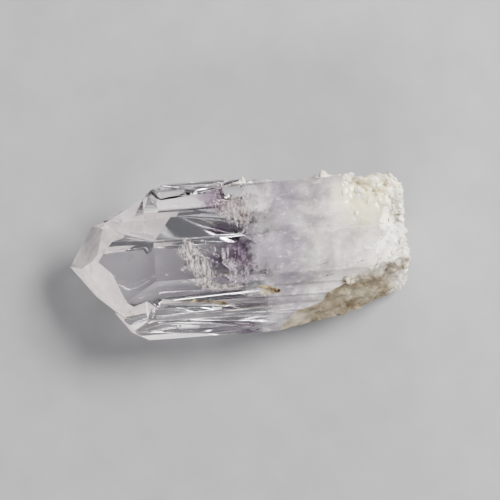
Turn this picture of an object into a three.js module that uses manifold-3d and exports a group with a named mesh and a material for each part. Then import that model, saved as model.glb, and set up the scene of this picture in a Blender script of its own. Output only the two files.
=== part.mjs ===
// Amethyst quartz triplet: three quartz crystals grown side by side, with thin ones between them, from
// one broken, milky root.
// Millimetres, +Z up. The stone lies on its underside, with its points along -X and its root at +X, and
// the origin is the middle of its box at the level of the surface it lies on. It is built around the long
// axis of the main crystal first, and set down on that surface last.

import * as THREE from 'three';
import { mergeVertices } from 'three/addons/utils/BufferGeometryUtils.js';
import Module from 'manifold-3d';

const wasm = await Module();
wasm.setup();

// The quartz lattice: six prism faces 60 degrees apart, and six end faces, each leaning so that its
// normal stands this far from the crystal's long axis.
const SIDES = 6;
const END_FACE_ANGLE = THREE.MathUtils.degToRad(51.79);

// The x where the broken root ends, and the height of the main crystal's axis above its underside.
const ROOT_X = 29.5;
const REST_DEPTH = 8.5;

// A crystal is given by the point on its axis where its leading end faces meet, by the distance of each
// prism face from that axis, and by how far past that point each end face would meet the axis. The faces
// are listed from the one that looks up (+Z), turning towards +Y. An odd face is one that the others lack.
const MAIN = {
  tip: [-30.1, 0, 0],
  sides: [12.2, 7.4, 6.4, REST_DEPTH, 8.4, 10.9],
  reach: [0, 4.8, 0, 3.9, 0, 4.55],
};
const BACK = {
  tip: [-23.7, 7.2, 5.5],
  sides: [6.1, 5.7, 0.6, 6.0, 7.7, 7.7],
  reach: [0, 2, 0, 0.5, 2, 0],
  oddFace: { through: [-15.0, 9.8, 10.7], towards: [-0.36, 0.93, 0.05] },
};
const FRONT = {
  tip: [-22.6, -9.2, 2.5],
  sides: [4.6, 4.6, 4.6, 4.6, 4.6, 4.6],
  reach: [0, 2.9, 0, 2.5, 0, 2.8],
};

// Thin crystals that grew along the three and stand out as long steps. Each has the point of its tip, the
// distance of its faces from its own axis, and the same two for the place where it dies out.
const STEPS = [
  { tip: [-16.6, -7.9, 7.2], side: 2.15, end: [31, -7.9, 7.2], endSide: 2.15 },
  { tip: [-16.3, -10.4, 7.4], side: 0.9, end: [9, -10.1, 6.8], endSide: 0.3 },
  { tip: [-12.6, -12.2, 4.4], side: 1.45, end: [16, -12.0, 4.2], endSide: 1.0 },
  { tip: [-14.6, 10.3, 8.7], side: 1.6, end: [-1.6, 11.2, 8.9], endSide: 0.8 },
  { tip: [-15.8, 9.7, 9.6], side: 1.35, end: [-3.0, 10.6, 9.8], endSide: 0.6 },
];

// The root: a rough block that the crystals stand in, and knobs that grew on it. A knob has its middle
// and its half sizes.
const ROOT_BLOCK = { low: [17, -8.6, -7.6], high: [32, 9.8, 10.4], cell: 1.2, rough: 0.1 };
const KNOBS = [
  { at: [0.2, 10.0, 7.8], size: [2.8, 2.1, 2.6] },
  { at: [4.2, 10.0, 7.4], size: [3.6, 2.1, 2.8] },
  { at: [12.4, 9.5, 8.0], size: [1.6, 1.7, 1.9] },
  { at: [15.2, 10.2, 7.6], size: [1.9, 2.0, 2.2] },
  { at: [18.5, 9.7, 8.0], size: [1.7, 2.0, 2.2] },
  { at: [26.0, 7.7, 7.4], size: [3.1, 3.2, 4.4] },
  { at: [27.2, 4.6, 8.6], size: [2.2, 2.8, 3.0] },
  { at: [27.2, -3.6, 6.8], size: [2.6, 3.0, 3.6] },
  { at: [25.6, 1.2, -2.4], size: [4.4, 7.4, 4.6] },
];
const KNOB_DETAIL = 5;
const KNOB_ROUGH = 0.16;

// Broken surfaces. A break is a rough plane through a point, and what lies past it has gone.
const BREAKS = [
  { through: [ROOT_X, 0, 0], towards: [1, 0.02, 0.05], rough: 0.7 },
  { through: [7.6, -14.0, 2.5], towards: [0.32, -0.9, 0.28], rough: 0.35 },
  { through: [21.5, -10.9, 2.5], towards: [0.46, -0.86, -0.04], rough: 0.5 },
  { through: [27.6, -7.4, 4], towards: [0.8, -0.6, 0.1], rough: 0.4 },
  { through: [28.4, 10.4, 6], towards: [0.75, 0.62, 0.2], rough: 0.5 },
];
const BREAK_CELL = 1.3;
const BREAK_WAVE = 4.2;

// Shell-shaped chips and hollows, each cut by a ball: its middle and half sizes.
const CHIPS = [
  { at: [9.4, 15.2, 8.6], size: [3.4, 4.6, 6.5] },
  { at: [21.8, 14.9, 8.2], size: [2.0, 3.9, 5.5] },
  { at: [28.6, -3.0, 14.1], size: [5.0, 4.9, 3.6] },
  { at: [28.0, 2.4, 15.0], size: [4.6, 3.4, 3.9] },
  { at: [24.6, -8.8, 12.6], size: [3.6, 3.0, 2.8] },
  { at: [5.0, -8.3, 9.4], size: [1.9, 0.55, 0.6] },
];
const CHIP_ROUGH = 0.1;

// Smooth noise in space, between -1 and 1 and the same on every run.
function hash(x, y, z) {
  const wave = Math.sin(x * 127.1 + y * 311.7 + z * 74.7) * 43758.5453;
  return wave - Math.floor(wave);
}

function noise(x, y, z) {
  const cell = [x, y, z].map(Math.floor);
  const share = [x, y, z].map((value, axis) => THREE.MathUtils.smoothstep(value - cell[axis], 0, 1));
  let sum = 0;
  for (let corner = 0; corner < 8; corner++) {
    const far = [corner & 1, (corner >> 1) & 1, (corner >> 2) & 1];
    const weight = far.reduce((product, bit, axis) => product * (bit ? share[axis] : 1 - share[axis]), 1);
    sum += weight * hash(cell[0] + far[0], cell[1] + far[1], cell[2] + far[2]);
  }
  return sum * 2 - 1;
}

// Lumps of the given size with finer ones on them.
function lumps(point, size) {
  const [finer, weaker, octaves] = [2.1, 0.55, 3];
  let sum = 0;
  for (let octave = 0; octave < octaves; octave++) {
    const scale = size / finer ** octave;
    sum += weaker ** (octave + 1) * noise(point.x / scale, point.y / scale, point.z / scale);
  }
  return sum;
}

// Moves every vertex of a geometry by a function of its place.
function shaped(geometry, move) {
  const position = geometry.attributes.position;
  const point = new THREE.Vector3();
  for (let i = 0; i < position.count; i++) {
    point.fromBufferAttribute(position, i);
    move(point);
    position.setXYZ(i, point.x, point.y, point.z);
  }
  return geometry;
}

function solid(geometry) {
  geometry.deleteAttribute('normal');
  geometry.deleteAttribute('uv');
  const merged = mergeVertices(geometry, 1e-4);
  const mesh = new wasm.Mesh({
    numProp: 3,
    vertProperties: new Float32Array(merged.attributes.position.array),
    triVerts: new Uint32Array(merged.index.array),
  });
  return new wasm.Manifold(mesh);
}

function geometryOf(manifold) {
  const { vertProperties, triVerts } = manifold.getMesh();
  const geometry = new THREE.BufferGeometry();
  geometry.setAttribute('position', new THREE.BufferAttribute(vertProperties, 3));
  geometry.setIndex(new THREE.BufferAttribute(triVerts, 1));
  geometry.computeVertexNormals();
  return geometry;
}

// Where a prism face looks, and where the end face above it looks.
function sideNormal(face) {
  const angle = (face * 2 * Math.PI) / SIDES;
  return new THREE.Vector3(0, Math.sin(angle), Math.cos(angle));
}

function endNormal(face) {
  const lean = sideNormal(face).multiplyScalar(Math.sin(END_FACE_ANGLE));
  return lean.add(new THREE.Vector3(-Math.cos(END_FACE_ANGLE), 0, 0));
}

// A block that fills the side a plane's normal looks to. Its face on the plane is roughened on request.
const BLOCK = 84;

function beyond(through, normal, rough = 0) {
  const cells = rough ? Math.round(BLOCK / BREAK_CELL) : 1;
  const block = new THREE.BoxGeometry(BLOCK, BLOCK, BLOCK, cells, cells, 1);
  block.translate(0, 0, BLOCK / 2);
  const turn = new THREE.Quaternion().setFromUnitVectors(new THREE.Vector3(0, 0, 1), normal);
  const place = new THREE.Matrix4().compose(through, turn, new THREE.Vector3(1, 1, 1));
  shaped(block, (point) => {
    const onPlane = point.z < BLOCK / 2;
    point.applyMatrix4(place);
    if (onPlane) point.addScaledVector(normal, rough * lumps(point, BREAK_WAVE));
  });
  return solid(block);
}

// The outline of a prism, a corner at a time: each corner is where two neighbouring faces meet.
function prismOutline(sides) {
  const [cosine, sineSquared] = [0.5, 0.75];
  const corners = sides.map((here, face) => {
    const next = sides[(face + 1) % SIDES];
    const along = sideNormal(face).multiplyScalar((here - next * cosine) / sineSquared);
    const across = sideNormal(face + 1).multiplyScalar((next - here * cosine) / sineSquared);
    const corner = along.add(across);
    return new THREE.Vector2(corner.y, corner.z);
  });
  return new THREE.Shape(corners);
}

function cutFace({ through, towards, rough = 0 }) {
  return beyond(new THREE.Vector3(...through), new THREE.Vector3(...towards).normalize(), rough);
}

// A crystal's prism runs along X from its tip to its end, where it may stand aside and be thinner.
function crystal({ tip, sides, reach, oddFace, end = [ROOT_X + 2, tip[1], tip[2]], endScale = 1 }) {
  const start = tip[0] - Math.max(...reach);
  const depth = end[0] - start;
  const prism = new THREE.ExtrudeGeometry(prismOutline(sides), { depth, bevelEnabled: false });
  const [x, y, z] = [new THREE.Vector3(1, 0, 0), new THREE.Vector3(0, 1, 0), new THREE.Vector3(0, 0, 1)];
  prism.applyMatrix4(new THREE.Matrix4().makeBasis(y, z, x));
  shaped(prism, (point) => {
    const share = point.x / depth;
    const scale = 1 + (endScale - 1) * share;
    point.x += start;
    point.y = point.y * scale + tip[1] + (end[1] - tip[1]) * share;
    point.z = point.z * scale + tip[2] + (end[2] - tip[2]) * share;
  });
  const endFaces = reach.map((past, face) =>
    beyond(new THREE.Vector3(tip[0] - past, tip[1], tip[2]), endNormal(face)),
  );
  if (oddFace) endFaces.push(cutFace(oddFace));
  return endFaces.reduce((body, block) => body.subtract(block), solid(prism));
}

// A thin crystal has equal sides, and its smaller end faces meet the axis a little past its tip.
function thinCrystal({ tip, side, end, endSide }) {
  const past = side / 4;
  const sides = Array(SIDES).fill(side);
  return crystal({ tip, sides, reach: [0, past, 0, past, 0, past], end, endScale: endSide / side });
}

// A ball stretched to its half sizes, with a lumpy surface.
function lump({ at, size }, rough) {
  const middle = new THREE.Vector3(...at);
  const stretch = new THREE.Vector3(...size);
  const ball = new THREE.IcosahedronGeometry(1, KNOB_DETAIL);
  shaped(ball, (point) => {
    const place = point.clone().multiply(stretch).add(middle);
    const swell = 1 + rough * (lumps(place, 3) + lumps(place, 1.3));
    point.multiply(stretch).multiplyScalar(swell).add(middle);
  });
  return solid(ball);
}

// A block with rounded edges and lumpy faces, between two corners.
function rootBlock({ low, high, cell, rough }) {
  const size = new THREE.Vector3(...high).sub(new THREE.Vector3(...low));
  const middle = new THREE.Vector3(...high).add(new THREE.Vector3(...low)).divideScalar(2);
  const cells = size.toArray().map((length) => Math.round(length / cell));
  const block = new THREE.BoxGeometry(...size.toArray(), ...cells);
  const roundness = 7;
  shaped(block, (point) => {
    const share = point.toArray().map((value, axis) => Math.abs(value) / (size.getComponent(axis) / 2));
    const round = share.reduce((sum, value) => sum + value ** roundness, 0) ** (-1 / roundness);
    const swell = 1 + rough * lumps(point, 4);
    point.multiplyScalar(round * swell).add(middle);
  });
  return solid(block);
}

function buildStone() {
  const grown = [
    ...[MAIN, BACK, FRONT].map(crystal),
    ...STEPS.map(thinCrystal),
    rootBlock(ROOT_BLOCK),
    ...KNOBS.map((knob) => lump(knob, KNOB_ROUGH)),
  ];
  const underside = beyond(new THREE.Vector3(0, 0, -REST_DEPTH), new THREE.Vector3(0, 0, -1));
  const gone = [
    ...BREAKS.map(cutFace),
    ...CHIPS.map((chip) => lump(chip, CHIP_ROUGH)),
    underside,
  ];
  const whole = grown.reduce((body, piece) => body.add(piece));
  return gone.reduce((body, piece) => body.subtract(piece), whole);
}

// The stone set down: the middle of its box over the origin, its underside at z = 0.
function setDown(geometry) {
  geometry.computeBoundingBox();
  const middle = geometry.boundingBox.getCenter(new THREE.Vector3());
  return geometry.translate(-middle.x, -middle.y, -geometry.boundingBox.min.z);
}

const quartz = new THREE.MeshStandardMaterial({
  name: 'quartz',
  color: new THREE.Color(0.86, 0.82, 0.88),
  roughness: 0.12,
  metalness: 0,
});

const stone = new THREE.Mesh(setDown(geometryOf(buildStone())), quartz);
stone.name = 'quartz_triplet';

const triplet = new THREE.Group();
triplet.name = 'amethyst_quartz_triplet';
triplet.add(stone);

export default triplet;
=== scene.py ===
# %% [markdown]
# # Amethyst quartz triplet
# Three quartz crystals stand side by side on one broken root. The points are clear, the middle holds
# silvery veils and a violet cloud, and the root is milky and rough. All lengths here are in metres, with
# +X along the crystals towards the root and +Z up.

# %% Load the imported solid
import math
import random

import bmesh
import bpy
from mathutils import Matrix, Vector, noise


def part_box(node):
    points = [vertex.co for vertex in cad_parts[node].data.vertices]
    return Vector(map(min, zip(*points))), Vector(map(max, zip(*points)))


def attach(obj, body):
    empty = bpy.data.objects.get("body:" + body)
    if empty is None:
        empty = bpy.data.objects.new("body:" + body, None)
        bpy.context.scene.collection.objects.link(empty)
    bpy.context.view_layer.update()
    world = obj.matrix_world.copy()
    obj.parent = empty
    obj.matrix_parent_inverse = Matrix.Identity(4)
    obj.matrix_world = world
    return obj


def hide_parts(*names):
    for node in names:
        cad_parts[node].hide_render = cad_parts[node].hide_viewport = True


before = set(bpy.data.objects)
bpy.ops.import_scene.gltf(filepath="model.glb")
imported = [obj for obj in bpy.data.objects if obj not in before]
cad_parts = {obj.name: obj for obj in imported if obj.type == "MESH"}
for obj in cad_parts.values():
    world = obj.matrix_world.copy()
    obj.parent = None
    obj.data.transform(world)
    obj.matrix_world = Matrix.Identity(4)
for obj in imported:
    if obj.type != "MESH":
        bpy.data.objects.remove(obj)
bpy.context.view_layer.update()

NODE = "quartz_triplet"
MM = 0.001
low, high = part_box(NODE)
print("solid from", tuple(round(v / MM, 1) for v in low), "to", tuple(round(v / MM, 1) for v in high))

# %% [markdown]
# ## Camera
# The stone is seen from almost straight above, a little from the front, and it lies slightly turned in
# the picture. A long lens from half a metre keeps its long edges parallel.

# %% Camera
TARGET = Vector((0, 0, 0.010))
DISTANCE = 0.4944
ELEVATION = math.radians(81.5)
TURN_IN_PICTURE = math.radians(4.2)
PICTURE = 500

camera_data = bpy.data.cameras.new("camera")
camera_data.lens = 200
camera_data.sensor_width = 36
camera_data.shift_x = 11.5 / PICTURE
camera_data.shift_y = 9.7 / PICTURE
camera_data.clip_start = 0.01
camera = bpy.data.objects.new("camera", camera_data)
bpy.context.scene.collection.objects.link(camera)
bpy.context.scene.camera = camera
towards_camera = Vector((0, -math.cos(ELEVATION), math.sin(ELEVATION)))
facing = towards_camera.to_track_quat("Z", "Y").to_matrix().to_4x4()
camera.matrix_world = (
    Matrix.Translation(TARGET + towards_camera * DISTANCE) @ facing @ Matrix.Rotation(-TURN_IN_PICTURE, 4, "Z")
)
print("camera at", tuple(round(v, 3) for v in camera.matrix_world.translation))

# %% [markdown]
# ## Floor and light
# Glass shows what is round it, so the studio matters as much as the stone. The main lamp stands at the
# root's end, a weak one in front, and a long low one behind shines through the crystals and draws the
# bright band along the groove. The dim sky leaves dark gaps between them: those gaps are what makes the
# flat faces of a clear crystal tell apart.

# %% Helpers for materials
def new_material(name):
    material = bpy.data.materials.new(name)
    material.use_nodes = True
    nodes = material.node_tree.nodes
    return material, nodes, material.node_tree.links, nodes["Principled BSDF"]


def object_pattern(nodes, links, kind, scale, stretch=(1, 1, 1), place=(0, 0, 0), **values):
    """A texture in the piece's own metres, through a Mapping node that stretches and moves it."""
    coordinates = nodes.new("ShaderNodeTexCoord")
    mapping = nodes.new("ShaderNodeMapping")
    mapping.inputs["Scale"].default_value = stretch
    mapping.inputs["Location"].default_value = place
    texture = nodes.new(kind)
    texture.inputs["Scale"].default_value = scale
    for name, value in values.items():
        texture.inputs[name].default_value = value
    links.new(coordinates.outputs["Object"], mapping.inputs["Vector"])
    links.new(mapping.outputs["Vector"], texture.inputs["Vector"])
    return texture


def ramp(nodes, links, value, stops):
    """Colours or greys along a value. A stop is a place and a colour or a grey."""
    node = nodes.new("ShaderNodeValToRGB")
    elements = node.color_ramp.elements
    while len(elements) < len(stops):
        elements.new(0.5)
    for element, (place, colour) in zip(elements, stops):
        element.position = place
        element.color = (*colour, 1) if isinstance(colour, tuple) else (colour, colour, colour, 1)
    links.new(value, node.inputs["Fac"])
    return node.outputs["Color"]


def sum_of(nodes, links, operation, first, second):
    node = nodes.new("ShaderNodeMath")
    node.operation = operation
    for socket, value in zip(node.inputs, (first, second)):
        if isinstance(value, (int, float)):
            socket.default_value = value
        else:
            links.new(value, socket)
    return node.outputs["Value"]


def along(nodes, links, axis, start, end):
    """A value that goes from 0 to 1 between two places on an axis."""
    coordinates = nodes.new("ShaderNodeTexCoord")
    parts = nodes.new("ShaderNodeSeparateXYZ")
    links.new(coordinates.outputs["Object"], parts.inputs["Vector"])
    spread = nodes.new("ShaderNodeMapRange")
    spread.inputs["From Min"].default_value = start
    spread.inputs["From Max"].default_value = end
    links.new(parts.outputs[axis], spread.inputs["Value"])
    return spread.outputs["Result"]


def add_bump(nodes, links, shader, height, strength, distance):
    bump = nodes.new("ShaderNodeBump")
    bump.inputs["Strength"].default_value = strength
    bump.inputs["Distance"].default_value = distance
    links.new(height, bump.inputs["Height"])
    links.new(bump.outputs["Normal"], shader.inputs["Normal"])


def new_piece(name, mesh_in_progress, *materials):
    mesh = bpy.data.meshes.new(name)
    mesh_in_progress.to_mesh(mesh)
    mesh_in_progress.free()
    piece = bpy.data.objects.new(name, mesh)
    bpy.context.scene.collection.objects.link(piece)
    for material in materials:
        mesh.materials.append(material)
    return piece


# %% Floor
floor_material, nodes, links, shader = new_material("pale_floor")
shader.inputs["Roughness"].default_value = 0.8
speckle = object_pattern(nodes, links, "ShaderNodeTexNoise", 160, Detail=4.0)
links.new(ramp(nodes, links, speckle.outputs["Fac"], [(0.3, (0.38, 0.38, 0.39)), (0.7, (0.41, 0.41, 0.42))]),
          shader.inputs["Base Color"])
bm = bmesh.new()
bmesh.ops.create_grid(bm, x_segments=2, y_segments=2, size=1.2)
FLOOR_GAP = 0.02 * MM
bmesh.ops.translate(bm, verts=bm.verts, vec=(0, 0, -FLOOR_GAP))
floor = new_piece("floor", bm, floor_material)
print("floor", floor.dimensions[:])

# %% Lamps and sky
def add_lamp(name, azimuth, elevation, distance, size, power, colour=(1, 1, 1)):
    data = bpy.data.lights.new(name, "AREA")
    data.shape = "RECTANGLE"
    data.size, data.size_y = size
    data.energy = power
    data.color = colour
    lamp = bpy.data.objects.new(name, data)
    bpy.context.scene.collection.objects.link(lamp)
    azimuth, elevation = math.radians(azimuth), math.radians(elevation)
    level = math.cos(elevation)
    direction = Vector((level * math.cos(azimuth), level * math.sin(azimuth), math.sin(elevation)))
    lamp.matrix_world = Matrix.Translation(TARGET + direction * distance) @ direction.to_track_quat("Z", "Y").to_matrix().to_4x4()
    print(name, "from azimuth", round(math.degrees(azimuth)))


add_lamp("lamp_right", 20, 45, 0.6, (0.30, 0.30), 5.3, (1.0, 0.985, 0.97))
add_lamp("lamp_front", -95, 36, 0.6, (0.42, 0.10), 1.8, (1.0, 0.99, 0.98))
add_lamp("glow_back", 92, 22, 0.6, (0.60, 0.10), 1.4, (1.0, 0.99, 0.98))

world = bpy.data.worlds.new("sky")
bpy.context.scene.world = world
world.use_nodes = True
world.node_tree.nodes["Background"].inputs["Color"].default_value = (0.75, 0.76, 0.80, 1)
world.node_tree.nodes["Background"].inputs["Strength"].default_value = 0.25
bpy.context.scene.view_settings.view_transform = "AgX"
bpy.context.scene.view_settings.look = "AgX - High Contrast"
bpy.context.scene.view_settings.exposure = -0.2

# %% [markdown]
# ## The clear quartz
# Quartz is clear by plain transmission: light passes its surface, bends as its index of refraction says,
# and is dimmed a little on the way by a faint absorption. Natural faces aren't optical glass. Fine growth
# lines cross the prism faces, and the polish comes and goes, so both drive the finish a little. For the
# lamps alone the surface counts as thinly tinted, so that what lies inside the stone is lit.

# %% Clear quartz
def let_lamps_through(nodes, links, shader, tint):
    """Shadows of this surface are as light as the tint, instead of black."""
    output = nodes["Material Output"]
    path = nodes.new("ShaderNodeLightPath")
    passing = nodes.new("ShaderNodeBsdfTransparent")
    passing.inputs["Color"].default_value = (*tint, 1)
    mix = nodes.new("ShaderNodeMixShader")
    links.new(path.outputs["Is Shadow Ray"], mix.inputs["Fac"])
    links.new(shader.outputs["BSDF"], mix.inputs[1])
    links.new(passing.outputs["BSDF"], mix.inputs[2])
    links.new(mix.outputs["Shader"], output.inputs["Surface"])


def mixed(nodes, links, share, first, second):
    """A colour or grey between two, by a share from 0 to 1."""
    node = nodes.new("ShaderNodeMix")
    node.data_type = "RGBA"
    node.clamp_factor = True
    for socket, value in zip((node.inputs["Factor"], node.inputs[6], node.inputs[7]), (share, first, second)):
        if isinstance(value, tuple):
            socket.default_value = (*value, 1)
        else:
            links.new(value, socket)
    return node.outputs[2]


def near(nodes, links, middle, radius, softness):
    """1 near a point in millimetres, falling to 0 at its radius."""
    coordinates = nodes.new("ShaderNodeTexCoord")
    away = nodes.new("ShaderNodeVectorMath")
    away.operation = "DISTANCE"
    away.inputs[1].default_value = Vector(middle) * MM
    links.new(coordinates.outputs["Object"], away.inputs[0])
    spread = nodes.new("ShaderNodeMapRange")
    spread.inputs["From Min"].default_value = radius * MM
    spread.inputs["From Max"].default_value = (radius - softness) * MM
    links.new(away.outputs["Value"], spread.inputs["Value"])
    return spread.outputs["Result"]


YELLOW_CORNER = ((23.0, 8.0, 17.0), 7.5, 6.0)
MILK_EDGE = ((4.9, -0.4, 20.0), 3.4, 3.2)
CRUST_CORNER = ((24.0, 9.5, 14.0), 10.0, 5.5)
VIOLET_CLOUDS = [((6.6, 8.2, 17.0), 6.0, 5.5), ((5.2, -1.6, 19.0), 6.5, 6.0), ((0.0, 3.0, 18.0), 6.5, 5.5)]


def milky_colour(nodes, links):
    """Lilac-white clouds, violet at a few places, that turn cream towards the root."""
    haze = object_pattern(nodes, links, "ShaderNodeTexNoise", 190, Detail=8.0, Roughness=0.62, Distortion=0.25)
    lilac = ramp(nodes, links, haze.outputs["Fac"],
                 [(0.36, (0.23, 0.20, 0.24)), (0.47, (0.34, 0.31, 0.34)), (0.56, (0.47, 0.44, 0.46)), (0.66, (0.72, 0.69, 0.69))])
    cream = ramp(nodes, links, haze.outputs["Fac"],
                 [(0.36, (0.46, 0.43, 0.39)), (0.48, (0.63, 0.60, 0.55)), (0.60, (0.84, 0.80, 0.74))])
    for middle, radius, softness in VIOLET_CLOUDS:
        share = sum_of(nodes, links, "MULTIPLY", near(nodes, links, middle, radius, softness), 0.65)
        lilac = mixed(nodes, links, share, lilac, (0.33, 0.27, 0.35))
    clouds = mixed(nodes, links, along(nodes, links, "X", 0.010, 0.024), lilac, cream)
    clouds = mixed(nodes, links, near(nodes, links, *YELLOW_CORNER), clouds, (0.95, 0.88, 0.58))
    flecks = object_pattern(nodes, links, "ShaderNodeTexNoise", 1100, stretch=(0.6, 1, 1), Detail=7.0, Roughness=0.75)
    spots = ramp(nodes, links, flecks.outputs["Fac"], [(0.56, 0.0), (0.66, 0.7)])
    return mixed(nodes, links, spots, clouds, (0.84, 0.80, 0.78)), haze


clear_quartz, nodes, links, shader = new_material("clear_quartz")
shader.inputs["IOR"].default_value = 1.544
shader.inputs["Subsurface Weight"].default_value = 0.35
shader.inputs["Subsurface Radius"].default_value = (0.9, 0.8, 0.9)
shader.inputs["Subsurface Scale"].default_value = 0.0012
smudges = object_pattern(nodes, links, "ShaderNodeTexNoise", 260, Detail=3.0)
links.new(ramp(nodes, links, smudges.outputs["Fac"], [(0.45, 0.015), (0.75, 0.10)]), shader.inputs["Roughness"])
growth_lines = object_pattern(nodes, links, "ShaderNodeTexNoise", 900, stretch=(1.0, 0.12, 0.12), Detail=3.0)
add_bump(nodes, links, shader, growth_lines.outputs["Fac"], 0.08, 0.00002)
milk, haze = milky_colour(nodes, links)
wisps = object_pattern(nodes, links, "ShaderNodeTexNoise", 700, Detail=6.0, Roughness=0.72)
drift = sum_of(nodes, links, "ADD", sum_of(nodes, links, "MULTIPLY", haze.outputs["Fac"], 0.9),
               sum_of(nodes, links, "MULTIPLY", wisps.outputs["Fac"], 0.35))
crusted = sum_of(nodes, links, "MULTIPLY", near(nodes, links, *CRUST_CORNER), 0.6)
clouded = sum_of(nodes, links, "MULTIPLY", near(nodes, links, *MILK_EDGE), 0.30)
crusted = sum_of(nodes, links, "ADD", crusted, clouded)
rootward = sum_of(nodes, links, "ADD", along(nodes, links, "X", -0.0012, 0.0188), crusted)
cloudy = ramp(nodes, links, sum_of(nodes, links, "ADD", drift, rootward), [(0.78, 0.0), (1.00, 0.40), (1.40, 0.95)])
links.new(mixed(nodes, links, cloudy, (0.985, 0.98, 0.985), milk), shader.inputs["Base Color"])
links.new(mixed(nodes, links, cloudy, (1.0, 1.0, 1.0), (0.0, 0.0, 0.0)), shader.inputs["Transmission Weight"])
absorption = nodes.new("ShaderNodeVolumeAbsorption")
absorption.inputs["Color"].default_value = (0.86, 0.83, 0.87, 1)
absorption.inputs["Density"].default_value = 9.0
links.new(absorption.outputs["Volume"], nodes["Material Output"].inputs["Volume"])
let_lamps_through(nodes, links, shader, (0.38, 0.37, 0.38))

# %% [markdown]
# ## The broken root
# The root broke off its rock. It is milky quartz with a rough cream crust, yellow in places. The crust is
# opaque, and its colour changes in patches, so a coarse and a fine pattern carry it.

# %% Broken root
broken_root, nodes, links, shader = new_material("broken_root")
patches = object_pattern(nodes, links, "ShaderNodeTexNoise", 170, Detail=7.0, Roughness=0.62)
cream = ramp(nodes, links, patches.outputs["Fac"],
             [(0.34, (0.40, 0.34, 0.26)), (0.43, (0.72, 0.67, 0.58)), (0.50, (0.91, 0.88, 0.81)), (0.66, (0.95, 0.93, 0.88))])
yellow = ramp(nodes, links, patches.outputs["Fac"], [(0.36, (0.62, 0.50, 0.26)), (0.48, (0.92, 0.84, 0.52)), (0.60, (0.95, 0.92, 0.76))])
cream = mixed(nodes, links, near(nodes, links, *YELLOW_CORNER), cream, yellow)
# Darker tan on the front side of the root: partly its own beige, partly painted shade where it faces away from the
# lamps.
beige_painted_shade = ramp(nodes, links, patches.outputs["Fac"],
             [(0.34, (0.18, 0.14, 0.09)), (0.43, (0.27, 0.22, 0.15)), (0.52, (0.38, 0.33, 0.24)), (0.64, (0.60, 0.54, 0.44))])
front_painted_shade = sum_of(nodes, links, "MULTIPLY", along(nodes, links, "Y", -0.002, -0.0065), along(nodes, links, "X", 0.0295, 0.026))
links.new(mixed(nodes, links, front_painted_shade, cream, beige_painted_shade), shader.inputs["Base Color"])
grit = object_pattern(nodes, links, "ShaderNodeTexNoise", 1400, Detail=5.0)
links.new(ramp(nodes, links, grit.outputs["Fac"], [(0.3, 0.70), (0.7, 0.30)]), shader.inputs["Roughness"])
shader.inputs["Subsurface Weight"].default_value = 0.25
shader.inputs["Subsurface Radius"].default_value = (1.0, 0.9, 0.7)
shader.inputs["Subsurface Scale"].default_value = 0.0008
add_bump(nodes, links, shader, grit.outputs["Fac"], 0.9, 0.0003)

# %% [markdown]
# ## Satin faces
# The end faces on the underside are frosted, and their pale pinkish colour is a painted reflection in place of the
# light that the clear stone mirrors inside. Seen through the clear upper faces they show as pale pinkish fields beside
# the dark window over the flat underside. One of them is only half frosted, and its grey is a painted, darker
# reflection. The lower faces of the front crystal are frosted in streaks along it, with a near-white painted
# reflection, which makes that crystal the brightest of the three.

# %% Satin quartz with a painted reflection
satin_painted_reflection, nodes, links, shader = new_material("satin_painted_reflection")
frost = object_pattern(nodes, links, "ShaderNodeTexNoise", 500, Detail=6.0, Roughness=0.7)
# The pale pinkish base colour is a painted reflection, not the stone's own colour.
links.new(ramp(nodes, links, frost.outputs["Fac"], [(0.35, (0.78, 0.73, 0.71)), (0.65, (0.92, 0.88, 0.86))]), shader.inputs["Base Color"])
links.new(ramp(nodes, links, frost.outputs["Fac"], [(0.40, 0.15), (0.60, 0.02)]), shader.inputs["Transmission Weight"])
shader.inputs["Roughness"].default_value = 0.5
shader.inputs["IOR"].default_value = 1.544


def satin_with_painted_reflection(name, colour, pattern_stretch, clear_least, clear_most):
    """A finish between polished and frosted that changes in patches or in streaks, in a colour that is a painted
    reflection.
    """
    material, nodes, links, shader = new_material(name)
    patches = object_pattern(nodes, links, "ShaderNodeTexNoise", 420, stretch=pattern_stretch, Detail=5.0, Roughness=0.65)
    links.new(ramp(nodes, links, patches.outputs["Fac"], [(0.40, clear_least), (0.62, clear_most)]), shader.inputs["Transmission Weight"])
    shader.inputs["Base Color"].default_value = (*colour, 1)
    shader.inputs["Roughness"].default_value = 0.32
    shader.inputs["IOR"].default_value = 1.544
    return material


# The grey and near-white colours here are painted reflections on faces of the underside.
grey_satin_painted_reflection = satin_with_painted_reflection("grey_satin_painted_reflection", (0.46, 0.44, 0.44), (1, 1, 1), 0.15, 0.50)
streaked_painted_reflection = satin_with_painted_reflection("streaked_painted_reflection", (0.97, 0.95, 0.94), (0.10, 1, 1), 0.05, 0.60)
print("materials", clear_quartz.name, broken_root.name, grey_satin_painted_reflection.name, streaked_painted_reflection.name)

# %% [markdown]
# ## The crystals
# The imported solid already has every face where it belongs, as loose triangles. A copy of it is merged, and
# triangles that lie in one plane are joined to one face, so a crystal face is again one flat polygon. What
# is left small belongs to broken surfaces: it is divided finer and roughened along its own normals.

# %% Faces of the crystals and of the breaks
CRYSTAL_FACE_AREA = 2.5e-6
END_ANGLE = math.radians(51.79)


def lattice_directions():
    """Where the prism faces and the end faces of quartz look."""
    directions = []
    for step in range(6):
        side = Vector((0, math.sin(step * math.pi / 3), math.cos(step * math.pi / 3)))
        directions += [side, side * math.sin(END_ANGLE) - Vector((math.cos(END_ANGLE), 0, 0))]
    directions.append(Vector((-0.36, 0.93, 0.05)).normalized())
    return directions


def is_crystal_face(face, directions):
    match = max(face.normal.dot(d) for d in directions)
    return match > 0.9994 or (match > 0.995 and face.calc_area() > 1.5e-6)


bm = bmesh.new()
bm.from_mesh(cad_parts[NODE].data)
bmesh.ops.remove_doubles(bm, verts=bm.verts, dist=2e-6)
directions = lattice_directions()
bm.normal_update()
print("merged to", len(bm.verts), "vertices and", len(bm.faces), "faces")

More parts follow.
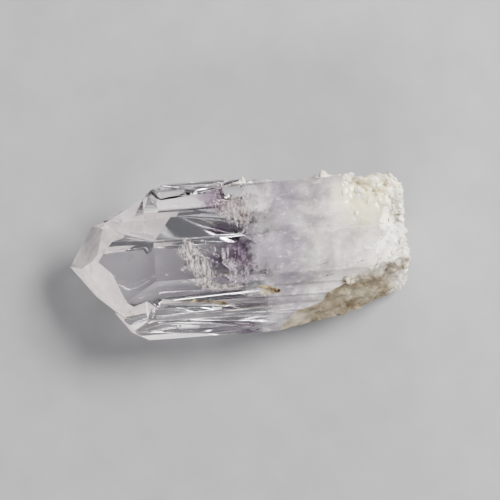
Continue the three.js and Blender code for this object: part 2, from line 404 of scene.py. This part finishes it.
flat = [f for f in bm.faces if is_crystal_face(f, directions)]
flat_edges = [e for e in bm.edges if len(e.link_faces) == 2 and all(is_crystal_face(f, directions) for f in e.link_faces)]
flat_verts = [v for v in bm.verts if all(is_crystal_face(f, directions) for f in v.link_faces)]
bmesh.ops.dissolve_limit(bm, angle_limit=math.radians(0.6), verts=flat_verts, edges=flat_edges)
bm.normal_update()
print("after joining", len(bm.faces), "faces")

# %% Frosted part of the underside, which carries the painted reflection
REFLECTION_FIELD_LINES = [((-21.2, 3.0), (-17.9, 7.0)), ((-21.2, 1.7), (-13.5, -4.5))]
REFLECTION_FIELD_END = -12.0


def left_of(line, x, y):
    (x0, y0), (x1, y1) = line
    rise = (y - y0) / (y1 - y0)
    return x < x0 + (x1 - x0) * rise


def in_painted_reflection_field(place):
    """Whether a point of the lower faces, in millimetres, lies on the frosted side of the lines, where the painted
    reflection goes.
    """
    if place.x > REFLECTION_FIELD_END:
        return False
    return left_of(REFLECTION_FIELD_LINES[0] if place.y > 2.3 else REFLECTION_FIELD_LINES[1], place.x, place.y)


def lower_faces(end):
    return [f for f in bm.faces if f.normal.z < -0.3 and min(v.co.x for v in f.verts) < end * MM and abs(f.normal.x) < 0.7]


def cut_faces(faces, place, across):
    edges = {e for f in faces for e in f.edges}
    verts = {v for f in faces for v in f.verts}
    bmesh.ops.bisect_plane(bm, geom=[*verts, *edges, *faces], dist=1e-6, plane_co=Vector(place) * MM, plane_no=across)


for start, stop in REFLECTION_FIELD_LINES:
    cut_faces(lower_faces(REFLECTION_FIELD_END), (*start, 0), Vector((stop[1] - start[1], start[0] - stop[0], 0)).normalized())
cut_faces(lower_faces(REFLECTION_FIELD_END), (0, 2.3, 0), (0, 1, 0))
BACK_REFLECTION_FIELD = (-13.6, 8.62)
LOWER_BACK = directions[4]


def back_lower_faces():
    """The lower back prism face of the back crystal, near its point."""
    return [f for f in lower_faces(REFLECTION_FIELD_END) if f.normal.dot(LOWER_BACK) > 0.9994 and f.calc_center_median().z > 9 * MM]


cut_faces(back_lower_faces(), (BACK_REFLECTION_FIELD[0], 0, 0), (1, 0, 0))
cut_faces([f for f in back_lower_faces() if f.calc_center_median().x < BACK_REFLECTION_FIELD[0] * MM], (0, BACK_REFLECTION_FIELD[1], 0), (0, 1, 0))
# Where the near-white painted reflection on the front crystal's underside begins.
FRONT_REFLECTION_STREAKS = -9.4
front_underside = [f for f in lower_faces(REFLECTION_FIELD_END) if f.normal.z < -0.99 and f.calc_center_median().z > 5 * MM]
cut_faces(front_underside, (0, FRONT_REFLECTION_STREAKS, 0), (0, 1, 0))
bm.normal_update()
print("lower faces near the points", len(lower_faces(REFLECTION_FIELD_END)))

# %% Finer faces near the root
RELIEF_FROM = 19.0
bmesh.ops.bisect_plane(bm, geom=[*bm.verts, *bm.edges, *bm.faces], dist=1e-6, plane_co=(RELIEF_FROM * MM, 0, 0), plane_no=(1, 0, 0))
FINEST_EDGE = 0.75
for _ in range(7):
    near_root = [f for f in bm.faces if f.calc_center_median().x > RELIEF_FROM * MM]
    bmesh.ops.triangulate(bm, faces=near_root, quad_method="SHORT_EDGE")
    long_edges = [e for e in bm.edges if min(v.co.x for v in e.verts) > (RELIEF_FROM - 0.01) * MM and e.calc_length() > FINEST_EDGE * MM]
    if not long_edges:
        break
    bmesh.ops.subdivide_edges(bm, edges=long_edges, cuts=1, use_grid_fill=False)
bmesh.ops.triangulate(bm, faces=[f for f in bm.faces if f.calc_center_median().x > RELIEF_FROM * MM], quad_method="SHORT_EDGE")
bm.normal_update()
print("with finer faces near the root", len(bm.faces), "faces")

# %% Rough relief on the breaks and near the root
broken = {f for f in bm.faces if not is_crystal_face(f, directions)}
broken_edges = [e for e in bm.edges if e.link_faces and all(f in broken for f in e.link_faces) and e.calc_length() > 0.6 * MM]
bmesh.ops.subdivide_edges(bm, edges=broken_edges, cuts=1, use_grid_fill=True)
bmesh.ops.triangulate(bm, faces=[f for f in bm.faces if len(f.verts) > 3 and not is_crystal_face(f, directions)])
bm.normal_update()


FACETS_FROM = 11.0


def tilted_facets(point, size):
    """Small planes, each tilted its own way, as broken quartz has. The size and the result are in millimetres."""
    _, centres = noise.voronoi(point / size)
    tilt = noise.noise_vector(centres[0] * 7.3)
    return (point / size - centres[0]).dot(tilt) * size


def relief(point):
    """Tilted facets and lumps with grit on them, in metres."""
    point = point / MM
    share = max(0.0, min(1.0, (point.x - FACETS_FROM) / 5.0))
    coarse = noise.fractal(point * 0.55, 0.9, 2.1, 3) * (0.42 - 0.16 * share) + tilted_facets(point, 2.6) * 0.75 * share
    medium = noise.fractal(point * 1.9, 0.9, 2.1, 3) * (0.22 - 0.08 * share) + tilted_facets(point, 1.2) * 0.45 * share
    pits = -max(0.0, noise.noise(point * 2.7) - 0.25) * 1.1
    return (coarse + medium + pits) * MM


def relief_share(vertex):
    """How rough the surface is there: fully on a break, and more and more towards the root elsewhere."""
    on_break = all(f.material_index == 1 for f in vertex.link_faces)
    rootward = max(0.0, min(1.0, (vertex.co.x / MM - 23.0 + 3.0 * noise.noise(vertex.co / MM * 0.35)) / 5.0))
    crusted = max(0.0, min(1.0, (vertex.co.y / MM - 6.0) / 3.0)) * max(0.0, min(1.0, (vertex.co.x / MM - 17.0) / 3.0))
    faceted = 0.8 if vertex.co.y < -3 * MM and vertex.co.x < 27 * MM else 1.0
    return max(faceted if on_break else 0.0, rootward, crusted)


REFLECTION_SATIN_DIRECTIONS = [directions[2 * step + 1] for step in (3, 4)]
GREY_REFLECTION_DIRECTION = directions[2 * 2 + 1]
LOWER_FRONT = directions[2 * 4]
for face in bm.faces:
    middle = face.calc_center_median() / MM
    rough = not is_crystal_face(face, directions) and face.calc_area() < CRYSTAL_FACE_AREA
    rough = rough and not (middle.x < 15 and middle.y > 6)
    # Pinkish satin faces carry a painted reflection of light mirrored inside the clear point.
    reflection_satin = max(face.normal.dot(d) for d in REFLECTION_SATIN_DIRECTIONS) > 0.9994 and middle.x < -17
    reflection_satin = reflection_satin or (face.normal.z < -0.3 and middle.z < 9 and middle.y > -6 and in_painted_reflection_field(middle))
    reflection_satin = reflection_satin or (face.normal.z < -0.3 and middle.z > 9 and middle.x < BACK_REFLECTION_FIELD[0] and 7 < middle.y < BACK_REFLECTION_FIELD[1])
    # Grey painted reflection on one end face near the point.
    grey = face.normal.dot(GREY_REFLECTION_DIRECTION) > 0.9994 and middle.x < -17
    # Near-white painted reflection in streaks on the front crystal's lower faces.
    streaked_reflection = face.normal.dot(LOWER_FRONT) > 0.9994 and middle.y < -8
    streaked_reflection = streaked_reflection or (face.normal.z < -0.99 and middle.z > 5 and middle.y < FRONT_REFLECTION_STREAKS and middle.x < 12)
    face.material_index = 1 if rough else 3 if grey else 2 if reflection_satin else 4 if streaked_reflection else 0
moves = {}
for vertex in bm.verts:
    clear_of_ground = max(0.0, min(1.0, (vertex.co.z / MM - 0.8) / 1.5))
    share = relief_share(vertex) * clear_of_ground
    if share > 0:
        moves[vertex] = vertex.normal * relief(vertex.co) * share
for vertex, move in moves.items():
    vertex.co += move
    vertex.co.x = min(vertex.co.x, high.x)
bm.normal_update()
for face in bm.faces:
    middle = face.calc_center_median() / MM
    face.smooth = face.material_index != 1 and middle.x > RELIEF_FROM + 0.5
triangles = sum(len(f.verts) - 2 for f in bm.faces)
crystals = new_piece("crystals", bm, clear_quartz, broken_root, satin_painted_reflection, grey_satin_painted_reflection, streaked_painted_reflection)
crystals.data.set_sharp_from_angle(angle=math.radians(32))
print("crystals have", triangles, "triangles")
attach(crystals, "root")
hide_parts(NODE)

# %% [markdown]
# ## The crust
# Round the broken end sits a crumbly cream crust with a yellow tint. A rough surface alone looks like
# clay, so hundreds of small angular grains are set on the stone where rays from outside meet it. They are
# sunk in by half, so each is held by the surface that carries it.

# %% Where the grains go
bpy.context.view_layer.update()
surface = bpy.context.evaluated_depsgraph_get()


def on_surface(start, direction):
    """Where a ray meets the crystals, and how the surface lies there."""
    hit, place, normal, _ = crystals.ray_cast(start, direction)
    return (place, normal) if hit else None


def crust_amount(place):
    """From 0, no grains, to 1, close together. The place is in millimetres."""
    x, y, z = place
    end = (x - 26.2 + 1.6 * noise.noise(Vector((y * 0.45, z * 0.45, 3.1)))) / 2.2
    back_top = min((x - 17.5) / 4.0, (y - 7.0) / 2.4)
    corner = min((x - 20.0) / 3.0, (y - 3.6) / 4.0)
    return max(0.0, min(1.0, max(end, back_top, corner)))


# %% Small lumps, made in batches
BATCH = 50


def add_lump(bm, place, turn, size, stretch, chance):
    """A lumpy grain, turned and stretched."""
    verts = bmesh.ops.create_icosphere(bm, subdivisions=1, radius=size)["verts"]
    shift = Vector((chance.uniform(0, 50), chance.uniform(0, 50), chance.uniform(0, 50)))
    for vertex in verts:
        vertex.co *= 1 + 0.5 * noise.noise(vertex.co / size * 0.9 + shift)
    bmesh.ops.scale(bm, verts=verts, vec=stretch)
    bmesh.ops.transform(bm, matrix=Matrix.Translation(place) @ turn, verts=verts)


def lumps_piece(name, lumps, material, chance):
    """One piece from many lumps. Small batches are quick, because an operator looks at the whole mesh."""
    whole = bmesh.new()
    for first in range(0, len(lumps), BATCH):
        batch = bmesh.new()
        for place, turn, size, stretch in lumps[first:first + BATCH]:
            add_lump(batch, place, turn, size, stretch, chance)
        mesh = bpy.data.meshes.new("batch")
        batch.to_mesh(mesh)
        batch.free()
        whole.from_mesh(mesh)
        bpy.data.meshes.remove(mesh)
    piece = new_piece(name, whole, material)
    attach(piece, "root")
    print(name, len(lumps), "lumps,", len(piece.data.polygons), "triangles")
    return piece


def lying_on(normal, angle):
    return normal.to_track_quat("Z", "Y").to_matrix().to_4x4() @ Matrix.Rotation(angle, 4, "Z")


# %% Crust grains
chance = random.Random(21)
grains = []
for _ in range(3800):
    angle = chance.uniform(0, 2 * math.pi)
    outward = Vector((0, math.cos(angle), math.sin(angle)))
    if chance.random() < 0.22:
        start, direction = Vector((36, chance.uniform(-12, 13), chance.uniform(0.5, 20.5))), Vector((-1, 0, 0))
    else:
        start, direction = Vector((chance.uniform(17.0, 30.2), 1.5, 10.0)) + outward * 24, -outward
    found = on_surface(start * MM, direction)
    if not found:
        continue
    place, normal = found
    clump = 0.5 + 0.9 * noise.noise(place / MM * 0.8 + Vector((9, 9, 9)))
    if chance.random() > crust_amount(place / MM) * clump or place.z < 2.2 * MM:
        continue
    size = (0.10 + 0.62 * chance.random() ** 4) * MM
    if place.x + size > high.x + 0.2 * MM or place.z + size > high.z + 0.25 * MM:
        size = 0.12 * MM
    stretch = (chance.uniform(0.7, 1.7), chance.uniform(0.7, 1.3), chance.uniform(0.35, 0.8))
    grains.append((place - normal * size * 0.2, lying_on(normal, chance.uniform(0, 6.28)), size, stretch))
lumps_piece("crust_grains", grains, broken_root, chance)

# %% [markdown]
# ## Stain, ridges and marks
# Water left iron in the groove between the main and the front crystal: a yellow-brown line of crumbs.
# Near the root, raised white ridges slant across the top face, and short dark cracks show beside them.
# All of these lie where rays from above meet the stone.

# %% Stain in the groove
iron_stain, nodes, links, shader = new_material("iron_stain")
rust = object_pattern(nodes, links, "ShaderNodeTexNoise", 900, Detail=4.0)
links.new(ramp(nodes, links, rust.outputs["Fac"], [(0.35, (0.14, 0.10, 0.05)), (0.50, (0.28, 0.21, 0.12)), (0.65, (0.48, 0.41, 0.28))]),
          shader.inputs["Base Color"])
shader.inputs["Roughness"].default_value = 0.7
DOWN = Vector((0, 0, -1))


def from_above(x, y):
    return on_surface(Vector((x, y, 40)) * MM, DOWN)


def crumbs_along(points, count, width, sizes, chance):
    """Crumbs beside a line of points in millimetres, as seen from above."""
    lumps = []
    for _ in range(count):
        leg = chance.randrange(len(points) - 1)
        share = chance.random()
        (x0, y0), (x1, y1) = points[leg], points[leg + 1]
        found = from_above(x0 + (x1 - x0) * share, y0 + (y1 - y0) * share + chance.gauss(0, width))
        if not found:
            continue
        place, normal = found
        size = (sizes[0] + (sizes[1] - sizes[0]) * chance.random() ** 3) * MM
        stretch = (chance.uniform(1.0, 3.2), chance.uniform(0.6, 1.0), 0.4)
        lumps.append((place, lying_on(normal, chance.gauss(0, 0.2)), size, stretch))
    return lumps


chance = random.Random(33)
stain = crumbs_along([(-16.0, -7.3), (-9.0, -7.9)], 60, 0.10, (0.03, 0.10), chance)
stain += crumbs_along([(-9.0, -7.9), (-5.0, -8.3), (-2.6, -8.6)], 230, 0.16, (0.04, 0.17), chance)
stain += crumbs_along([(3.3, -6.1), (5.0, -6.5), (6.9, -7.2)], 130, 0.16, (0.05, 0.20), chance)
stain += crumbs_along([(-20.6, -8.6), (-17.8, -9.2)], 60, 0.35, (0.03, 0.10), chance)
lumps_piece("groove_stain", stain, iron_stain, chance)

# %% White ridges, the splinter on the back edge, and dark cracks
chance = random.Random(34)
ridges = crumbs_along([(22.7, -1.3), (24.6, 0.1), (26.2, 1.5)], 90, 0.14, (0.16, 0.44), chance)
ridges += crumbs_along([(23.7, -5.1), (25.0, -2.6), (26.5, 0.1)], 100, 0.14, (0.16, 0.42), chance)
ridges += crumbs_along([(25.2, -5.6), (26.4, -3.4), (27.6, -1.8)], 60, 0.14, (0.14, 0.36), chance)
ridges += crumbs_along([(19.0, 9.0), (21.5, 8.4), (23.5, 7.9)], 40, 0.3, (0.12, 0.30), chance)
SPLINTERS = [((2.0, 12.6, 18.0), 0.5, (2.6, 0.5, 0.35), 1.9), ((1.2, 12.3, 18.2), 0.6, (2.0, 0.7, 0.4), 0.1),
             ((2.8, 12.0, 18.6), 0.5, (1.8, 0.8, 0.4), 0.3), ((0.4, 12.2, 18.3), 0.4, (1.6, 0.6, 0.4), -0.2)]
for middle, size, stretch, angle in SPLINTERS:
    ridges.append((Vector(middle) * MM, Matrix.Rotation(angle, 4, "Z"), size * MM, stretch))
lumps_piece("ridges_and_splinter", ridges, broken_root, chance)

dark_crack, nodes, links, shader = new_material("dark_crack")
soot = object_pattern(nodes, links, "ShaderNodeTexNoise", 1200, Detail=3.0)
links.new(ramp(nodes, links, soot.outputs["Fac"], [(0.4, (0.10, 0.08, 0.07)), (0.6, (0.24, 0.20, 0.17))]), shader.inputs["Base Color"])
shader.inputs["Roughness"].default_value = 0.6
CRACKS = [[(13.4, -3.6), (15.6, -3.2)], [(15.0, -5.3), (16.2, -5.2)], [(20.4, -3.7), (22.4, -3.0)], [(27.9, -1.6), (28.6, 3.2)],
          [(12.4, -7.6), (17.0, -7.5), (21.3, -7.4)], [(-15.6, -10.6), (-9.0, -11.0), (-2.0, -11.2)], [(10.4, -5.9), (12.0, -5.8)]]
marks = []
for line in CRACKS:
    marks += crumbs_along(line, 26, 0.06, (0.03, 0.09), chance)
lumps_piece("dark_cracks", marks, dark_crack, chance)

# %% [markdown]
# ## The milky inside
# From the middle to the root the quartz is full of tiny bubbles. Seen through the clear skin this is a
# lilac-white body whose front end dissolves in wisps. It is the solid again, moved in under the surface
# and cut off at the front, and its finish thins out there.

# %% Milky quartz
milky_quartz, nodes, links, shader = new_material("milky_quartz")
milk, haze = milky_colour(nodes, links)
wisps = object_pattern(nodes, links, "ShaderNodeTexNoise", 620, Detail=6.0, Roughness=0.7)
links.new(milk, shader.inputs["Base Color"])
shader.inputs["Roughness"].default_value = 0.55
drift = sum_of(nodes, links, "ADD", sum_of(nodes, links, "MULTIPLY", wisps.outputs["Fac"], 0.6),
               sum_of(nodes, links, "MULTIPLY", haze.outputs["Fac"], 0.75))
cover = sum_of(nodes, links, "ADD", drift, along(nodes, links, "X", 0.0055, 0.016))
links.new(ramp(nodes, links, cover, [(0.82, 0.0), (1.16, 1.0)]), shader.inputs["Alpha"])


def inner_shell(name, depth, front, material):
    """The solid moved in by a depth and cut off at the front."""
    bm = bmesh.new()
    bm.from_mesh(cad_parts[NODE].data)
    bmesh.ops.remove_doubles(bm, verts=bm.verts, dist=2e-6)
    bmesh.ops.dissolve_limit(bm, angle_limit=math.radians(0.6), verts=bm.verts, edges=bm.edges)
    bm.normal_update()
    for vertex in bm.verts:
        vertex.co -= vertex.normal * depth
        vertex.co.z = max(vertex.co.z, 0.5 * MM)
    cut = bmesh.ops.bisect_plane(bm, geom=[*bm.verts, *bm.edges, *bm.faces], plane_co=(front, 0, 0),
                                 plane_no=(-1, -0.25, 0.35), clear_outer=True)
    rim = [e for e in cut["geom_cut"] if isinstance(e, bmesh.types.BMEdge)]
    bmesh.ops.holes_fill(bm, edges=rim)
    bmesh.ops.triangulate(bm, faces=bm.faces)
    bmesh.ops.recalc_face_normals(bm, faces=bm.faces)
    piece = new_piece(name, bm, material)
    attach(piece, "root")
    print(name, len(piece.data.polygons), "triangles")
    return piece


milk_body = inner_shell("milk_body", 0.0022, 0.0050, milky_quartz)

# %% [markdown]
# ## The violet cloud
# Amethyst colour sits in zones inside the crystal. Light is coloured by the depth of violet quartz that it
# crosses, so each zone is a lens-shaped lump that takes light by absorption alone: its middle comes out
# dark and its rim fades to nothing by itself.

# %% Violet zones
def absorbing(name, colour, density):
    material, nodes, links, shader = new_material(name)
    shader.inputs["Base Color"].default_value = (1, 1, 1, 1)
    shader.inputs["Transmission Weight"].default_value = 1.0
    shader.inputs["Roughness"].default_value = 0.0
    shader.inputs["IOR"].default_value = 1.0
    absorption = nodes.new("ShaderNodeVolumeAbsorption")
    absorption.inputs["Color"].default_value = (*colour, 1)
    absorption.inputs["Density"].default_value = density
    links.new(absorption.outputs["Volume"], nodes["Material Output"].inputs["Volume"])
    let_lamps_through(nodes, links, shader, (1, 1, 1))
    return material


violet = absorbing("violet_quartz", (0.56, 0.44, 0.59), 300)
ZONES = [
    ("violet_main", (1.2, 0.6, 13.5), (5.6, 2.7, 2.8), 11),
    ("violet_front", (-3.6, -0.2, 12.0), (3.6, 2.0, 2.0), 12),
    ("violet_back", (5.6, 7.2, 13.0), (3.4, 1.8, 2.4), 13),
    ("violet_wing", (-2.4, 4.9, 12.6), (3.2, 1.6, 2.0), 14),
]


def add_zone(name, middle, half, seed):
    bm = bmesh.new()
    bmesh.ops.create_icosphere(bm, subdivisions=4, radius=1)
    shift = Vector((seed * 7.3, seed * 3.1, seed * 5.7))
    for vertex in bm.verts:
        rim = max(0.0, 1 - vertex.co.xy.length_squared) ** 0.8
        ragged = 1 + 0.28 * noise.fractal(vertex.co * 1.6 + shift, 0.8, 2.2, 4)
        vertex.co = Vector((vertex.co.x * ragged, vertex.co.y * ragged, vertex.co.z * ragged * rim))
    bmesh.ops.scale(bm, verts=bm.verts, vec=Vector(half) * MM)
    bmesh.ops.translate(bm, verts=bm.verts, vec=Vector(middle) * MM)
    bmesh.ops.recalc_face_normals(bm, faces=bm.faces)
    piece = new_piece(name, bm, violet)
    for polygon in piece.data.polygons:
        polygon.use_smooth = True
    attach(piece, "root")
    print(name, "at", middle)


for zone in ZONES:
    add_zone(*zone)

# %% [markdown]
# ## Veils
# Cracks that healed while the crystal grew are thin sheets full of silvery bubbles. Each is a grid that
# noise bends and whose finish is torn open by a pattern, so only rags of it show.

# %% Silvery veil
def veil_material(name, pale, dark, least, scale, streak_turn, streak=0.22, most=0.8):
    material, nodes, links, shader = new_material(name)
    rags = object_pattern(nodes, links, "ShaderNodeTexNoise", scale, stretch=(1.0, 0.45, 1.0), Detail=9.0, Roughness=0.72)
    streaks = object_pattern(nodes, links, "ShaderNodeTexNoise", scale * 3, stretch=(1.0, streak, 1), Detail=6.0, Roughness=0.65)
    for texture in (rags, streaks):
        texture.inputs["Vector"].links[0].from_node.inputs["Rotation"].default_value = (0, 0, math.radians(streak_turn))
    links.new(ramp(nodes, links, streaks.outputs["Fac"], [(0.40, dark), (0.60, pale)]), shader.inputs["Base Color"])
    rim = nodes.new("ShaderNodeAttribute")
    rim.attribute_name = "from_rim"
    wealth = sum_of(nodes, links, "ADD", rags.outputs["Fac"], sum_of(nodes, links, "MULTIPLY", rim.outputs["Fac"], 0.30))
    grain = sum_of(nodes, links, "ADD", wealth, sum_of(nodes, links, "MULTIPLY", streaks.outputs["Fac"], 0.30))
    links.new(ramp(nodes, links, grain, [(least, 0.0), (least + 0.20, most)]), shader.inputs["Alpha"])
    shader.inputs["Roughness"].default_value = 0.35
    return material


silvery_veil = veil_material("silvery_veil", (0.92, 0.87, 0.83), (0.16, 0.14, 0.13), 0.60, 900, 48, 0.14, 0.85)
lilac_veil = veil_material("lilac_veil", (0.82, 0.76, 0.79), (0.18, 0.14, 0.18), 0.82, 760, 40, 0.4, 0.75)
violet_veil = veil_material("violet_veil", (0.30, 0.24, 0.31), (0.08, 0.055, 0.09), 0.80, 640, 30, 0.8, 0.55)
warm_veil = veil_material("warm_veil", (0.88, 0.80, 0.75), (0.17, 0.13, 0.12), 0.80, 760, 40, 0.4, 0.8)


def distance_from_rim(point, corners):
    """How far inside its outline a point lies, in millimetres."""
    least = 1e9
    for here, there in zip(corners, corners[1:] + corners[:1]):
        start, side = Vector(here), Vector(there) - Vector(here)
        share = max(0.0, min(1.0, (point - start).dot(side) / side.length_squared))
        least = min(least, (point - start - side * share).length)
    return least


RIM_WIDTH = 1.9


def add_veil(name, corners, depth, slope, material, seed, wave=0.5):
    """A bent sheet over an outline in millimetres, at a depth and sloping along X and Y."""
    bm = bmesh.new()
    bm.faces.new([bm.verts.new((x, y, 0)) for x, y in corners])
    for axis in ((1, 0, 0), (0, 1, 0)):
        for step in range(-34, 35):
            place = Vector(axis) * step * 0.45
            bmesh.ops.bisect_plane(bm, geom=[*bm.verts, *bm.edges, *bm.faces], plane_co=place, plane_no=axis)
    bmesh.ops.triangulate(bm, faces=bm.faces)
    inside = bm.verts.layers.float.new("from_rim")
    shift = Vector((seed * 3.7, seed * 1.9, seed * 5.3))
    middle = sum((v.co for v in bm.verts), Vector()) / len(bm.verts)
    for vertex in bm.verts:
        vertex[inside] = min(1.0, distance_from_rim(vertex.co.xy, corners) / RIM_WIDTH)
        away = vertex.co - middle
        bend = noise.fractal(vertex.co * 0.35 + shift, 0.8, 2.1, 3) * wave
        bend += noise.fractal(vertex.co * 1.4 + shift, 0.8, 2.1, 3) * wave * 0.35
        vertex.co.z = depth + slope[0] * away.x + slope[1] * away.y + bend
    bmesh.ops.scale(bm, verts=bm.verts, vec=(MM, MM, MM))
    piece = new_piece(name, bm, material)
    for polygon in piece.data.polygons:
        polygon.use_smooth = True
    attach(piece, "root")
    print(name, len(piece.data.polygons), "triangles")


VEILS = [
    ("veil_slanted", [(-11.2, 1.4), (-8.6, 3.6), (-5.6, 0.2), (-2.6, -4.8), (-4.0, -5.9), (-7.4, -4.0)], 15.0, (0.15, 0.35), silvery_veil, 1),
    ("veil_middle", [(-4.6, 1.6), (1.0, 3.0), (5.5, 0.6), (3.4, -4.4), (-2.6, -5.0)], 14.2, (-0.2, 0.3), lilac_veil, 2),
    ("veil_back", [(-6.8, 9.4), (-3.6, 12.0), (4.4, 11.2), (5.8, 5.2), (-0.6, 3.8)], 15.0, (0.1, -0.2), warm_veil, 3),
    ("veil_low", [(-7.0, -3.4), (-1.0, -2.0), (2.0, -5.2), (-5.0, -5.8)], 12.4, (0.1, 0.2), silvery_veil, 4),
    ("phantom_main", [(-6.4, 3.4), (-1.0, 3.8), (5.2, 2.4), (6.4, -0.8), (1.0, -1.4), (-3.4, 0.4)], 16.2, (-0.1, 0.12), violet_veil, 5),
    ("phantom_back", [(-7.2, 10.2), (-1.0, 10.6), (0.4, 6.6), (-3.4, 5.4), (-7.0, 6.8)], 16.6, (0.1, -0.1), violet_veil, 6),
]
for veil in VEILS:
    add_veil(*veil)

# %% [markdown]
# ## Sparks
# Where a crack is still open it mirrors light, and the stone glitters. Hundreds of thin little plates in
# loose swarms do that. Each is only a circle of a few corners, stretched and tipped over.

# %% Bright flakes
bright_flake, nodes, links, shader = new_material("bright_flake")
glitter = object_pattern(nodes, links, "ShaderNodeTexNoise", 900, Detail=2.0)
links.new(ramp(nodes, links, glitter.outputs["Fac"], [(0.35, (0.46, 0.42, 0.45)), (0.6, (0.88, 0.85, 0.86))]), shader.inputs["Base Color"])
shader.inputs["Roughness"].default_value = 0.18
shader.inputs["Specular IOR Level"].default_value = 0.9

SWARMS = [
    ((-3.6, -0.6, 15.0), (2.6, 1.9, 1.6), 70, (0.05, 0.30)),
    ((-1.6, -1.6, 15.8), (1.6, 0.9, 0.8), 90, (0.06, 0.36)),
    ((2.2, -1.8, 15.0), (2.6, 1.2, 1.6), 80, (0.05, 0.28)),
    ((-0.4, 7.2, 15.8), (2.6, 1.8, 1.6), 90, (0.05, 0.28)),
    ((-3.6, 10.2, 16.4), (1.4, 1.8, 1.2), 60, (0.05, 0.26)),
    ((3.4, 4.2, 14.6), (3.4, 2.4, 2.0), 80, (0.05, 0.28)),
    ((-6.6, 0.6, 15.4), (2.4, 1.9, 1.4), 50, (0.05, 0.26)),
    ((7.0, -3.6, 15.6), (2.2, 1.2, 1.2), 60, (0.05, 0.28)),
    ((-9.6, -1.6, 14.6), (0.9, 0.5, 0.5), 22, (0.05, 0.24)),
]


def add_flake(bm, middle, size, chance):
    made = bmesh.ops.create_circle(bm, cap_ends=True, segments=chance.choice((4, 5, 6, 7)), radius=size)
    verts = made["verts"]
    bmesh.ops.scale(bm, verts=verts, vec=(chance.uniform(1.2, 4.0), chance.uniform(0.25, 0.7), 1))
    turn = Matrix.Rotation(chance.gauss(-0.7, 0.7), 4, "Z") @ Matrix.Rotation(chance.gauss(0, 0.6), 4, "X")
    turn = turn @ Matrix.Rotation(chance.gauss(0, 0.6), 4, "Y")
    bmesh.ops.transform(bm, matrix=Matrix.Translation(middle) @ turn, verts=verts)


chance = random.Random(5)
bm = bmesh.new()
for middle, spread, count, (least, most) in SWARMS:
    for _ in range(count):
        place = Vector(chance.gauss(m, s * 0.55) for m, s in zip(middle, spread))
        add_flake(bm, place, least + (most * 0.75 - least) * chance.random() ** 2.8, chance)
bmesh.ops.scale(bm, verts=bm.verts, vec=(MM, MM, MM))
flakes = new_piece("flakes", bm, bright_flake)
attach(flakes, "root")
print(len(flakes.data.polygons), "flakes")
